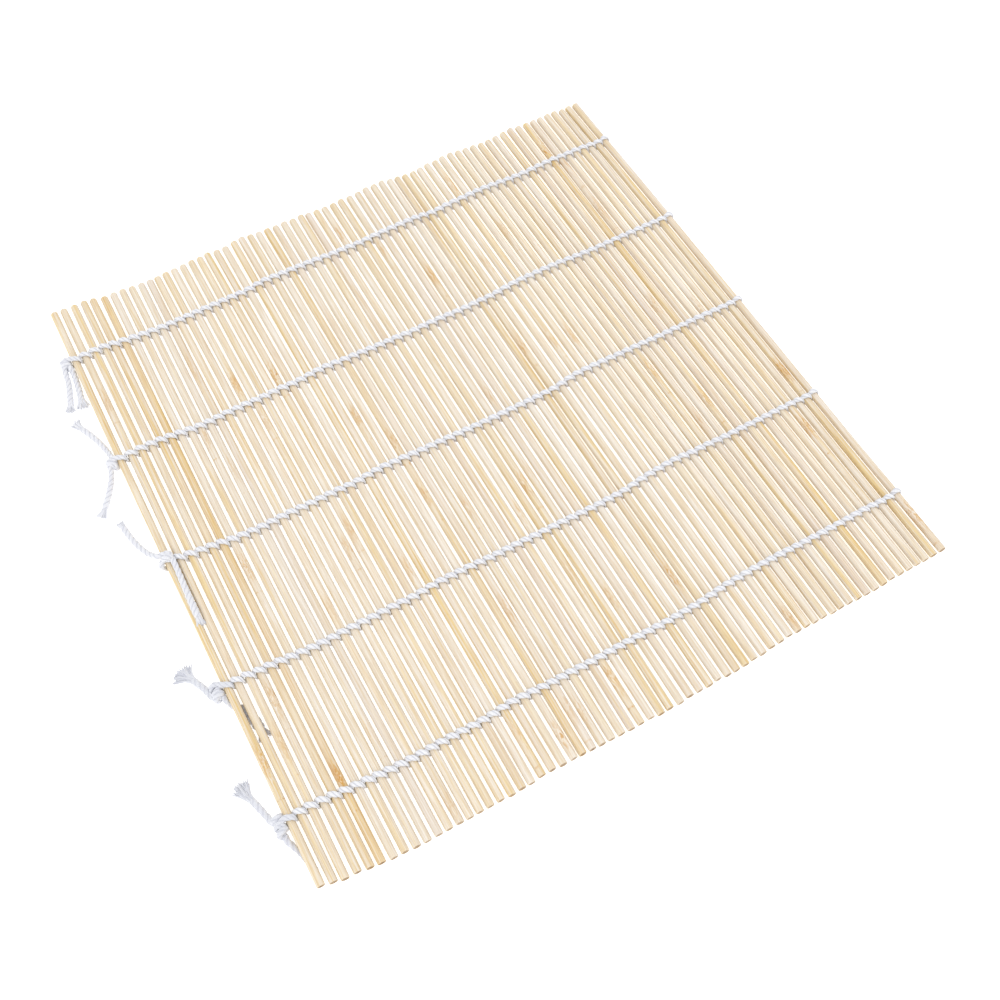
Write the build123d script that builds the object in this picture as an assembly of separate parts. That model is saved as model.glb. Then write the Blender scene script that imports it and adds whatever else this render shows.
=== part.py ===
from build123d import *
import math
import os

os.makedirs("parts", exist_ok=True)

# ---------------------------------------------------------------- dimensions
# X runs across the sticks (the knotted edge at -X), Y along them, Z up.
# The origin is the middle of the mat, on the surface that it lies on.
N_STICKS = 65          # bamboo dowels
PITCH = 3.5            # centre to centre
STICK_D = 2.5          # dowel diameter
STICK_L = 240.0        # dowel length
STICK_CHAMFER = 0.2    # broken edge at each sawn end
CORD_R = 0.45          # a lacing strand where it is squeezed between two sticks
SWING = 0.60           # how far a strand stands off its row's line in each gap
PRESS = 0.05           # flat that the weight presses into the underside
ROWS_Y = (97.0, 49.0, 1.0, -47.4, -95.1)   # the five rows, far to near
GROUPS = [3] * 21 + [2]                    # sticks in each rigid group
HINGE_MARGIN = 0.06    # strand cut back from each hinge's bisecting plane
HINGE_DROP = 0.5       # lower strand cut this far under the hinge line

# Sawn ends aren't lined up: each dowel's shift along Y, from the photo.
SHIFT_Y = [
    1.4, 1.0, 0.5, 0.6, 0.0, -0.8, -0.9, -1.0, -1.3, -1.5, -1.4, -1.4, -1.2,
    -1.2, -0.9, -0.8, -0.7, -0.6, -0.7, -0.7, 0.0, 0.4, 0.0, 0.0, -0.2, -0.3,
    -0.2, -0.4, -0.3, -0.6, -0.6, -0.6, -0.8, -0.4, -0.5, -0.1, 0.2, 0.1, 0.4,
    -0.1, -0.3, -0.4, -0.2, 0.0, 0.6, 0.6, 1.2, 1.3, 1.0, 0.9, 0.8, 0.5, 0.7,
    0.9, 1.1, 1.3, 1.0, 1.1, 1.3, 1.4, 1.4, 1.5, 1.2, 1.3, 1.4,
]

# Rolled up, the hinge lines lie on a spiral.
ROLL_CORE_R = 15.0     # radius at the innermost edge
ROLL_STEP = 9.0        # growth of the radius in one turn

# Knots beside the first stick: two turns round the row's two ends.
KNOT_MAJOR = 1.32
KNOT_MINOR = 0.88
KNOT_CORE_R = 0.80
NECK_R = 0.80          # bend that takes each strand from the first gap to its knot
# The middle row's knot lies on top of the first stick.
TOP_KNOT_MAJOR = 1.50
TOP_KNOT_MINOR = 0.90

TAIL_D = 1.5           # loose cord, round
TAIL_FLAT_D = 0.85     # where a free end runs between the sticks and the table

# ------------------------------------------------------------------- derived
HALF = PITCH / 2
LOOP_R = math.hypot(HALF, SWING)           # centre line of a half turn
AXIS_Z = LOOP_R + CORD_R - PRESS           # height of the dowels' axes
FIRST_X = -PITCH * (N_STICKS - 1) / 2
STARTS = [sum(GROUPS[:k]) for k in range(len(GROUPS))]


def stick_x(i):
    return FIRST_X + PITCH * i


def gap_x(i):
    """Middle of the gap before stick i."""
    return stick_x(i) - HALF


HINGE_X = [gap_x(s) for s in STARTS[1:]]


def roll_angles():
    """Turn of each hinge, outermost first, in degrees, fully rolled up."""
    lengths = [g * PITCH for g in GROUPS]

    def point(f):
        r = ROLL_CORE_R + ROLL_STEP * f / (2 * math.pi)
        return r * math.cos(f), r * math.sin(f)

    points, f = [point(0.0)], 0.0
    for length in reversed(lengths):
        low, high, base = f, f + 2.5, point(f)
        for _ in range(60):
            mid = (low + high) / 2
            if math.dist(point(mid), base) < length:
                low = mid
            else:
                high = mid
        f = low
        points.append(point(f))
    points.reverse()
    headings = [
        math.atan2(b[1] - a[1], b[0] - a[0]) for a, b in zip(points, points[1:])
    ]
    turns = []
    for a, b in zip(headings, headings[1:]):
        t = (b - a + math.pi) % (2 * math.pi) - math.pi
        turns.append(abs(math.degrees(t)))
    return turns


ROLL = roll_angles()
print("axis height", round(AXIS_Z, 4), "thickness", round(AXIS_Z + LOOP_R + CORD_R, 4))
print("hinges x", [round(x, 3) for x in HINGE_X])
print("turns", [round(a, 2) for a in ROLL], "sum", round(sum(ROLL), 1))


# -------------------------------------------------------------------- sticks
def make_stick(i):
    dowel = Solid.make_cylinder(
        STICK_D / 2,
        STICK_L,
        Plane(
            origin=(stick_x(i), -STICK_L / 2 + SHIFT_Y[i], AXIS_Z),
            x_dir=(1, 0, 0),
            z_dir=(0, 1, 0),
        ),
    )
    ends = [e for e in dowel.edges() if e.geom_type == GeomType.CIRCLE]
    return dowel.chamfer(STICK_CHAMFER, None, ends)


# -------------------------------------------------------------------- lacing
def half_turn(over, swing_left, swing_right):
    """Half a turn of strand round a stick at x = 0 with its row at y = 0, from
    the gap on the left at y = swing_left to the gap on the right."""
    mid = (swing_left + swing_right) / 2
    run = Vector(HALF, (swing_right - swing_left) / 2, 0)
    side = run.normalized()
    up = Vector(0, 0, 1 if over else -1)
    return Solid.make_torus(
        run.length,
        CORD_R,
        Plane(origin=(0, mid, AXIS_Z), x_dir=side, z_dir=side.cross(up)),
        major_angle=180,
    )


def prism(points, half_width=3.0):
    """A cutter: a polygon in X and height above the hinge line, wide in Y."""
    wire = Wire.make_polygon(
        [Vector(x, -half_width, AXIS_Z + z) for x, z in points], close=True
    )
    return Solid.extrude(Face(wire), Vector(0, 2 * half_width, 0))


def table_cut(solid):
    box = Solid.make_box(8, 8, 2, Plane(origin=(-4, -4, -2)))
    return solid.cut(box).solids()[0]


OVER = half_turn(True, SWING, -SWING)
UNDER = table_cut(half_turn(False, -SWING, SWING))
LAST_OVER = half_turn(True, SWING, 0)
LAST_UNDER = table_cut(half_turn(False, -SWING, 0))


def cut_at_hinge(solid, over, side, turn):
    """Cut a half turn back from the hinge on its right (side 1) or left (-1)."""
    if over:
        t = math.tan(math.radians(turn / 2 + 1.0))
        shape = [
            (HALF - 1.0, -0.05),
            (HALF - 1.0, 0.25),
            (HALF - HINGE_MARGIN - 0.25 * t, 0.25),
            (HALF - HINGE_MARGIN - 4 * t, 4.0),
            (HALF + 2.0, 4.0),
            (HALF + 2.0, -0.05),
        ]
    else:
        shape = [
            (HALF - 1.0, -HINGE_DROP),
            (HALF - 1.0, 0.05),
            (HALF + 1.0, 0.05),
            (HALF + 1.0, -HINGE_DROP),
        ]
    cutter = prism([(side * x, z) for x, z in shape])
    kept = solid.cut(cutter).solids()
    return max(kept, key=lambda s: s.volume)


def strands(k):
    """Both strands of one row over group k, with the row at y = 0."""
    first, count = STARTS[k], GROUPS[k]
    result = []
    for start_over in (True, False):
        pieces = []
        for j in range(count):
            i = first + j
            over = start_over if j % 2 == 0 else not start_over
            last = i == N_STICKS - 1
            if last:
                unit = LAST_OVER if over else LAST_UNDER
            else:
                unit = OVER if over else UNDER
            if j == 0 and k > 0:
                unit = cut_at_hinge(unit, over, -1, ROLL[k - 1])
            if j == count - 1 and k < len(GROUPS) - 1:
                unit = cut_at_hinge(unit, over, 1, ROLL[k])
            pieces.append(unit.moved(Location((stick_x(i), 0, 0))))
        result.append(pieces)
    if first + count == N_STICKS:
        # One cord, folded round the last stick: both strands are one piece.
        result = [result[0] + result[1][::-1]]
    out = []
    for pieces in result:
        solid = pieces[0]
        for other in pieces[1:]:
            solid = solid.fuse(other).solids()
            if len(solid) > 1:
                print("strand pieces left apart in group", k + 1, len(solid))
            solid = solid[0]
        out.append(solid)
    return out


# --------------------------------------------------------------------- knots
def neck(y, rising):
    """Bend from the first gap, left into the knot. rising: the strand comes
    up from under the first stick."""
    up = 1 if rising else -1
    return Solid.make_torus(
        NECK_R,
        CORD_R,
        Plane(
            origin=(gap_x(0) - NECK_R, y, AXIS_Z),
            x_dir=(1, 0, 0),
            z_dir=Vector(1, 0, 0).cross(Vector(0, 0, up)),
        ),
        major_angle=90,
    )


def ring(x, y, z, major, minor, z_dir):
    return Solid.make_torus(major, minor, Plane(origin=(x, y, z), z_dir=z_dir))


def side_knot(row_y):
    x0 = gap_x(0) - NECK_R
    z = AXIS_Z
    knot = ring(x0 - 0.75, row_y + 0.3, z, KNOT_MAJOR, KNOT_MINOR, (1, 0.12, 0))
    knot = knot.fuse(
        ring(x0 - 2.15, row_y - 0.3, z, KNOT_MAJOR, KNOT_MINOR, (1, 0.12, 0))
    ).solids()[0]
    core = Solid.make_cylinder(
        KNOT_CORE_R, 3.3, Plane(origin=(x0 - 3.2, row_y, z), z_dir=(1, 0, 0))
    )
    knot = knot.fuse(core).solids()[0]
    for y, rising in ((row_y + SWING, False), (row_y - SWING, True)):
        knot = knot.fuse(neck(y, rising)).solids()[0]
    return knot


def top_knot(row_y):
    x, y, z = stick_x(0) + 0.3, row_y + 0.4, AXIS_Z + STICK_D / 2 + 1.05
    knot = ring(x, y, z, TOP_KNOT_MAJOR, TOP_KNOT_MINOR, (0, 0, 1))
    core = Solid.make_cylinder(
        1.35, 2.0, Plane(origin=(x, y, z - 0.9), z_dir=(0, 0, 1))
    )
    return knot.fuse(core).solids()[0]


# ----------------------------------------------------------------- free ends
S = TAIL_D / 2 + 0.03      # centre height of a free end lying on the table
F = TAIL_FLAT_D / 2 + 0.03
TAILS = {
    "tail_row_1_outer": (TAIL_D, [
        (-116.7, 95.6, 2.0), (-117.9, 92.9, 1.15), (-118.7, 88.2, S),
        (-120.2, 82.6, S), (-121.5, 77.9, S)]),
    "tail_row_1_inner": (TAIL_D, [
        (-114.9, 95.6, 2.0), (-115.2, 92.5, 1.15), (-115.9, 87.3, S),
        (-116.5, 82.2, S), (-117.2, 77.6, S)]),
    "tail_row_2_upper": (TAIL_D, [
        (-115.9, 49.6, 2.2), (-115.5, 53.2, 1.2), (-116.7, 58.6, S),
        (-118.3, 64.4, S), (-120.9, 70.0, S)]),
    "tail_row_2_lower": (TAIL_D, [
        (-116.2, 48.0, 2.0), (-117.9, 45.2, 1.2), (-119.0, 41.2, S),
        (-120.9, 37.2, S), (-123.3, 34.4, S), (-125.7, 31.2, S)]),
    "tail_row_3_upper": (TAIL_D, [
        (-112.3, 2.6, 4.5), (-115.0, 4.6, 4.0), (-117.3, 8.4, 2.1),
        (-119.0, 13.6, S), (-120.4, 19.2, S), (-121.5, 24.7, S)]),
    "tail_row_3_lower": (TAIL_D, [
        (-111.0, 0.2, 4.5), (-110.2, -4.0, 3.95), (-110.45, -9.3, 3.55),
        (-110.2, -14.6, 3.5), (-110.45, -19.4, 3.55), (-110.2, -23.8, 3.5)]),
    "tail_row_4_upper": (TAIL_D, [
        (-115.6, -46.9, 2.0), (-117.6, -45.0, 1.2), (-120.0, -41.8, S),
        (-122.5, -38.6, S), (-123.5, -35.1, S)]),
    "tail_row_4_lower": (TAIL_FLAT_D, [
        (-115.3, -48.3, 1.2), (-114.3, -51.6, F), (-112.0, -55.6, F),
        (-110.0, -60.0, F), (-109.2, -64.4, F), (-108.6, -68.6, F)]),
    "tail_row_5_upper": (TAIL_D, [
        (-115.8, -94.4, 2.0), (-117.0, -91.4, 1.2), (-118.6, -87.2, S),
        (-119.7, -82.8, S), (-120.9, -78.6, S)]),
    "tail_row_5_lower": (TAIL_FLAT_D, [
        (-115.4, -96.3, 1.2), (-114.7, -99.6, 0.55), (-114.2, -103.6, F),
        (-113.2, -107.6, F), (-112.7, -111.4, F)]),
}


def tail_path(name, diameter, points):
    pts = [Vector(*p) for p in points]
    radii = []
    for a, b, c in zip(pts, pts[1:], pts[2:]):
        turn = math.radians((b - a).get_angle(c - b))
        radii.append(0.45 * min((b - a).length, (c - b).length) / math.tan(turn / 2))
    runs = [(b - a).length for a, b in zip(pts, pts[1:])]
    print(name, "runs", [round(r, 1) for r in runs], "radii",
          [round(r, 1) for r in radii], "least in diameters",
          round(min(radii) / diameter, 1))
    return FilletPolyline(*pts, radius=radii)


def make_tail(name):
    diameter, points = TAILS[name]
    path = tail_path(name, diameter, points)
    start = path @ 0
    circle = Face(Wire.make_circle(diameter / 2, Plane(origin=start, z_dir=path % 0)))
    tube = sweep(circle, path=path).solids()[0]
    print("   length", round(path.length, 2), "volume ratio",
          round(tube.volume / (math.pi * diameter**2 / 4 * path.length), 4))
    return tube, path.length


# ------------------------------------------------------------------- writing
def write(name, solids):
    shape = Compound(children=list(solids)) if len(solids) > 1 else solids[0]
    export_step(shape, f"parts/{name}.step")


knots = [top_knot(y) if r == 2 else side_knot(y) for r, y in enumerate(ROWS_Y)]

for k in range(len(GROUPS)):
    first = STARTS[k]
    write(f"sticks_{k + 1:02d}", [make_stick(first + j) for j in range(GROUPS[k])])
    pair = strands(k)
    laid = [s.moved(Location((0, y, 0))) for y in ROWS_Y for s in pair]
    if k == 0:
        cut = []
        for s in laid:
            for knot in (knots[2],):
                left = s.cut(knot).solids()
                s = max(left, key=lambda p: p.volume) if left else s
            cut.append(s)
        laid = cut
        first_lacing = laid
    write(f"lacing_{k + 1:02d}", laid)

for r, knot in enumerate(knots):
    write(f"knot_row_{r + 1}", [knot])

for name in TAILS:
    tube, _ = make_tail(name)
    row = int(name.split("_")[2]) - 1
    for other in [knots[row]] + [s for s in first_lacing[2 * row:2 * row + 2]]:
        left = tube.cut(other).solids()
        tube = max(left, key=lambda p: p.volume)
    write(name, [tube])
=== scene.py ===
# The look of a sushi rolling mat: bamboo sticks laced side by side with twined cotton cord. Metres; lengths in the lists below are in millimetres.
import math

import bpy
import numpy as np
from mathutils import Matrix, Vector


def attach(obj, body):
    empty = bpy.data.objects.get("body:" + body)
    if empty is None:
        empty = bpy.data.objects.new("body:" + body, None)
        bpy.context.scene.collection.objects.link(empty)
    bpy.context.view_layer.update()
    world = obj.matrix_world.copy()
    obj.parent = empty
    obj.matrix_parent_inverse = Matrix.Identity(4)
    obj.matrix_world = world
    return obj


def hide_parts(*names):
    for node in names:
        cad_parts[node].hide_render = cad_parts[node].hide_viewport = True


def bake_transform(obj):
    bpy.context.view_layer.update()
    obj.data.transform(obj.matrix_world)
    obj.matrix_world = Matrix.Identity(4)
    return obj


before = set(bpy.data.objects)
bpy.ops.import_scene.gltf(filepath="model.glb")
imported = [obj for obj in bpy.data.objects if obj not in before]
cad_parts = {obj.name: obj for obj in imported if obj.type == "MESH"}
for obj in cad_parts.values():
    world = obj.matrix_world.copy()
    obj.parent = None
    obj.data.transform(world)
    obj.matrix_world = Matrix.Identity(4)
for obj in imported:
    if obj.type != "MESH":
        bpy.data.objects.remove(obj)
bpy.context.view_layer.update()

# ---------------------------------------------------------------- sizes, mm
N = 65                      # sticks
PITCH = 3.5
STICK_R = 1.25
SHOWN_R = 1.325             # radius of the drawn sticks
ASIDE = (0.08, 0.38)        # measured middle of the first and last sticks from the even places
AXIS_Z = 2.25               # height of the sticks' middles
FIRST_X = -PITCH * (N - 1) / 2
GROUPS = [3] * 21 + [2]     # sticks on each moving body
STARTS = [sum(GROUPS[:k]) for k in range(len(GROUPS))]
OVER_H, UNDER_H = 0.70, 0.475      # half thickness of a strand on a stick and under one
WIDE = 1.02                         # half width of a strand
LAY = 5.6                           # length of one turn of the three plies

# where each row crosses each stick, and the two ends of each stick
ROWS = [
    [95.8, 96.3, 96.3, 96.4, 95.8, 95.3, 94.9, 94.7, 94.4, 94.3, 94.3, 94.4, 94.5, 94.6, 94.7, 94.7, 94.8, 95.0, 94.9, 95.0, 96.0, 96.5, 96.1, 96.2, 96.1, 96.1, 96.0, 96.0, 95.7, 95.6, 95.6, 95.6, 95.5, 95.7, 96.1, 96.2, 96.3, 96.3, 96.5, 96.5, 96.2, 95.5, 95.9, 96.5, 96.6, 96.6, 96.9, 97.2, 97.1, 97.0, 96.7, 96.5, 96.5, 96.4, 96.7, 96.8, 97.2, 97.2, 97.0, 97.1, 97.2, 97.0, 96.7, 96.5, 97.0],
    [47.4, 47.9, 48.0, 48.1, 47.9, 47.6, 47.4, 46.7, 46.6, 46.6, 46.9, 47.1, 47.1, 47.2, 47.2, 47.1, 47.4, 47.6, 47.3, 47.4, 48.0, 48.3, 48.4, 48.2, 47.9, 47.9, 47.9, 47.7, 47.6, 47.6, 47.7, 47.4, 47.4, 47.6, 47.7, 47.7, 47.7, 47.5, 47.5, 47.8, 47.9, 47.8, 48.2, 48.7, 49.1, 49.3, 49.3, 49.4, 49.4, 49.5, 49.4, 49.1, 49.0, 48.8, 48.8, 48.7, 49.0, 48.8, 48.9, 49.0, 48.9, 49.1, 49.1, 48.9, 49.2],
    [1.8, 1.6, 0.5, 0.3, 0.1, -0.4, -1.1, -1.1, -1.3, -1.4, -1.2, -1.0, -0.9, -1.0, -1.1, -1.0, -0.8, -0.8, -1.1, -0.8, -0.5, 0.1, -0.0, 0.0, -0.1, -0.2, -0.4, -0.3, -0.4, -0.4, -0.5, -0.6, -0.6, -0.6, -0.6, -0.6, -0.5, -0.5, -0.5, -0.3, -0.3, -0.3, 0.4, 1.2, 1.6, 1.6, 1.7, 1.7, 1.5, 1.5, 1.5, 1.5, 1.5, 1.4, 1.2, 1.5, 1.4, 1.4, 1.5, 1.6, 1.5, 1.4, 1.3, 1.4, 1.6],
    [-48.4, -47.7, -48.4, -48.6, -48.4, -48.9, -49.1, -49.3, -49.6, -49.5, -49.5, -49.3, -49.2, -49.3, -49.2, -49.2, -49.0, -49.1, -49.2, -48.9, -48.5, -48.3, -48.4, -48.3, -48.4, -48.5, -48.6, -48.7, -48.6, -48.6, -48.6, -48.7, -48.7, -48.6, -48.6, -48.7, -48.6, -48.8, -48.7, -48.5, -48.5, -48.4, -47.7, -47.2, -46.8, -46.6, -46.3, -46.1, -46.3, -46.6, -46.5, -46.4, -46.7, -46.7, -46.6, -46.6, -46.6, -46.7, -46.5, -46.5, -46.4, -46.5, -46.5, -46.7, -46.3],
    [-96.1, -95.3, -95.5, -95.6, -96.0, -96.4, -96.5, -96.6, -97.0, -97.1, -97.2, -97.2, -97.2, -97.0, -96.9, -96.9, -96.9, -97.0, -96.9, -96.7, -96.2, -95.9, -96.0, -96.2, -96.3, -96.4, -96.3, -96.2, -96.4, -96.4, -96.3, -96.2, -96.2, -96.1, -96.2, -96.2, -96.2, -96.3, -96.1, -95.9, -95.9, -95.6, -95.2, -94.7, -94.4, -94.3, -94.1, -93.9, -93.9, -93.8, -93.8, -93.8, -94.0, -93.8, -93.9, -93.9, -93.8, -93.8, -93.7, -93.6, -93.5, -93.6, -93.7, -93.7, -93.2],
]
FAR_END = [121.0, 120.9, 120.7, 120.8, 120.1, 119.0, 119.1, 119.0, 118.6, 118.4, 118.4, 118.5, 118.8, 118.9, 119.3, 119.6, 119.6, 120.1, 119.6, 119.6, 120.6, 121.2, 120.6, 120.4, 120.2, 120.0, 120.3, 120.0, 120.3, 119.7, 119.7, 119.6, 119.6, 120.0, 120.0, 120.3, 120.9, 120.8, 121.1, 120.3, 119.9, 119.4, 119.5, 119.9, 120.5, 120.4, 121.1, 121.4, 120.8, 120.6, 120.4, 120.0, 120.2, 120.5, 121.1, 121.5, 120.9, 120.8, 120.9, 121.0, 121.1, 121.1, 120.5, 120.7, 120.7]
NEAR_END = [-118.1, -118.8, -119.6, -119.6, -120.2, -120.6, -121.0, -121.0, -121.3, -121.4, -121.3, -121.3, -121.2, -121.3, -121.2, -121.2, -121.1, -121.3, -121.0, -121.0, -120.5, -120.4, -120.6, -120.5, -120.6, -120.7, -120.8, -120.8, -120.9, -121.0, -120.9, -120.8, -121.2, -121.0, -121.1, -120.6, -120.6, -120.6, -120.2, -120.5, -120.5, -120.3, -119.9, -119.8, -119.3, -119.1, -118.7, -118.8, -118.7, -118.8, -118.7, -118.9, -118.7, -118.7, -118.8, -118.8, -118.8, -118.6, -118.2, -118.2, -118.2, -118.1, -118.1, -118.0, -117.8]
# how far each stick lies from its even place at five places along it
PLACES = [-112.0, -60.0, 0.0, 60.0, 112.0]
LEAN = [
    (-0.84, -1.02, -1.32, -1.43, -1.16), (-0.71, -1.20, -1.15, -0.94, -1.01), (-0.80, -0.84, -0.76, -0.61, -0.50), (-0.41, -0.72, -0.64, -0.37, -0.24), (-0.17, -0.62, -0.57, -0.33, -0.32),
    (-0.16, -0.47, -0.48, -0.22, 0.17), (0.09, -0.42, -0.59, -0.31, 0.29), (0.17, -0.27, -0.39, -0.13, 0.38), (0.30, -0.28, -0.41, -0.10, 0.44), (0.31, -0.23, -0.39, -0.08, 0.58),
    (0.51, -0.17, -0.39, -0.08, 0.53), (0.46, -0.15, -0.26, -0.05, 0.16), (0.52, -0.17, -0.16, 0.11, 0.09), (0.38, -0.05, -0.07, 0.09, 0.10), (0.23, 0.01, -0.01, 0.09, 0.19),
    (0.25, 0.09, -0.02, 0.05, 0.32), (0.32, 0.12, 0.04, 0.11, 0.27), (0.46, 0.23, 0.15, 0.13, 0.06), (0.56, 0.30, 0.18, 0.16, 0.17), (0.31, 0.21, 0.18, 0.21, 0.26),
    (0.61, 0.38, 0.27, 0.37, 0.68), (0.74, 0.44, 0.29, 0.35, 0.58), (0.86, 0.55, 0.42, 0.47, 0.59), (1.11, 0.43, 0.29, 0.43, 0.45), (0.69, 0.56, 0.41, 0.36, 0.47),
    (0.58, 0.51, 0.32, 0.24, 0.46), (0.41, 0.39, 0.15, 0.08, 0.53), (0.27, 0.33, 0.15, 0.11, 0.54), (0.24, 0.32, 0.12, 0.09, 0.63), (0.21, 0.31, 0.17, 0.05, 0.21),
    (0.18, 0.18, 0.12, 0.11, 0.19), (0.32, 0.24, 0.16, 0.12, 0.11), (0.25, 0.29, 0.24, 0.20, 0.25), (0.04, 0.24, 0.18, 0.11, 0.28), (0.38, 0.34, 0.24, 0.26, 0.51),
    (0.57, 0.33, 0.25, 0.42, 0.79), (0.66, 0.45, 0.31, 0.44, 0.90), (0.73, 0.46, 0.25, 0.38, 0.96), (0.72, 0.44, 0.32, 0.51, 1.01), (0.68, 0.46, 0.27, 0.37, 0.86),
    (0.44, 0.32, 0.24, 0.30, 0.52), (0.39, 0.11, 0.01, 0.09, 0.23), (0.36, 0.20, 0.03, -0.01, 0.18), (0.33, 0.38, 0.32, 0.18, 0.06), (0.47, 0.44, 0.39, 0.29, 0.15),
    (0.60, 0.58, 0.48, 0.33, 0.22), (0.60, 0.68, 0.52, 0.27, 0.13), (0.55, 0.68, 0.40, 0.14, 0.29), (0.51, 0.48, 0.24, 0.06, 0.17), (0.18, 0.17, 0.05, -0.05, -0.01),
    (-0.09, 0.05, 0.03, -0.09, -0.17), (0.04, -0.01, -0.03, -0.10, -0.28), (-0.26, -0.16, -0.12, -0.19, -0.40), (-0.41, -0.33, -0.28, -0.29, -0.36), (-0.45, -0.47, -0.45, -0.36, -0.17),
    (-0.56, -0.49, -0.50, -0.38, -0.01), (-0.67, -0.57, -0.52, -0.36, 0.01), (-0.70, -0.62, -0.59, -0.41, 0.06), (-0.75, -0.60, -0.69, -0.63, -0.13), (-0.63, -0.62, -0.71, -0.69, -0.37),
    (-0.65, -0.75, -0.74, -0.60, -0.36), (-0.82, -0.80, -0.73, -0.61, -0.50), (-1.07, -0.97, -0.78, -0.64, -0.66), (-1.21, -1.12, -0.87, -0.72, -0.92), (-1.09, -1.29, -1.01, -0.76, -1.04),
]

# ---------------------------------------------------------------- camera
cam_data = bpy.data.cameras.new("camera")
cam_data.sensor_fit = "HORIZONTAL"
cam_data.sensor_width = 36.0
cam_data.lens = 45.0609
cam_data.clip_start = 0.01
camera = bpy.data.objects.new("camera", cam_data)
right = Vector((0.8775755, -0.4791952, -0.0152715))
up = Vector((0.4203021, 0.7536154, 0.5053811))
back = Vector((-0.2306673, -0.4499287, 0.8627611))
camera.matrix_world = Matrix((
    (right.x, up.x, back.x, -0.10396056),
    (right.y, up.y, back.y, -0.22069032),
    (right.z, up.z, back.z, 0.36725529),
    (0, 0, 0, 1),
))
bpy.context.collection.objects.link(camera)
bpy.context.scene.camera = camera
bpy.context.scene.view_settings.view_transform = "Standard"


# ---------------------------------------------------------------- materials
def lin(r, g, b):
    out = []
    for c in (r, g, b):
        c /= 255.0
        out.append(c / 12.92 if c <= 0.04045 else ((c + 0.055) / 1.055) ** 2.4)
    return out


class Nodes:
    """Short calls for a material's nodes."""

    def __init__(self, name):
        self.mat = bpy.data.materials.new(name)
        self.mat.use_nodes = True
        self.tree = self.mat.node_tree
        self.tree.nodes.clear()
        self.out = self.tree.nodes.new("ShaderNodeOutputMaterial")
        self.bsdf = self.tree.nodes.new("ShaderNodeBsdfPrincipled")
        self.tree.links.new(self.bsdf.outputs[0], self.out.inputs[0])

    def put(self, value, socket):
        if isinstance(value, bpy.types.NodeSocket):
            self.tree.links.new(value, socket)
        elif value is not None:
            socket.default_value = value

    def attr(self, name, kind="Fac"):
        n = self.tree.nodes.new("ShaderNodeAttribute")
        n.attribute_name = name
        return n.outputs[kind]

    def math(self, op, a, b=None, c=None, clamp=False):
        n = self.tree.nodes.new("ShaderNodeMath")
        n.operation = op
        n.use_clamp = clamp
        for v, s in zip((a, b, c), n.inputs):
            self.put(v, s)
        return n.outputs[0]

    def vec(self, op, a, b=None, scale=None):
        n = self.tree.nodes.new("ShaderNodeVectorMath")
        n.operation = op
        self.put(a, n.inputs[0])
        if b is not None:
            self.put(b, n.inputs[1])
        if scale is not None:
            self.put(scale, n.inputs["Scale"])
        return n.outputs[0]

    def noise(self, vector, scale, detail=2.0, rough=0.5, colour=False):
        n = self.tree.nodes.new("ShaderNodeTexNoise")
        self.put(vector, n.inputs["Vector"])
        n.inputs["Scale"].default_value = scale
        n.inputs["Detail"].default_value = detail
        n.inputs["Roughness"].default_value = rough
        return n.outputs["Color" if colour else "Fac"]

    def ramp(self, value, a, b, lo=0.0, hi=1.0, smooth=True):
        n = self.tree.nodes.new("ShaderNodeMapRange")
        n.interpolation_type = "SMOOTHSTEP" if smooth else "LINEAR"
        self.put(value, n.inputs["Value"])
        n.inputs["From Min"].default_value = a
        n.inputs["From Max"].default_value = b
        n.inputs["To Min"].default_value = lo
        n.inputs["To Max"].default_value = hi
        return n.outputs["Result"]

    def mix(self, kind, fac, a, b):
        n = self.tree.nodes.new("ShaderNodeMix")
        n.data_type = "RGBA"
        n.blend_type = kind
        self.put(fac, n.inputs[0])
        self.put(a, n.inputs[6])
        self.put(b, n.inputs[7])
        return n.outputs[2]

    def bump(self, height, strength, distance, normal=None):
        n = self.tree.nodes.new("ShaderNodeBump")
        n.inputs["Strength"].default_value = strength
        n.inputs["Distance"].default_value = distance
        self.put(height, n.inputs["Height"])
        if normal is not None:
            self.put(normal, n.inputs["Normal"])
        return n.outputs[0]


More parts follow.
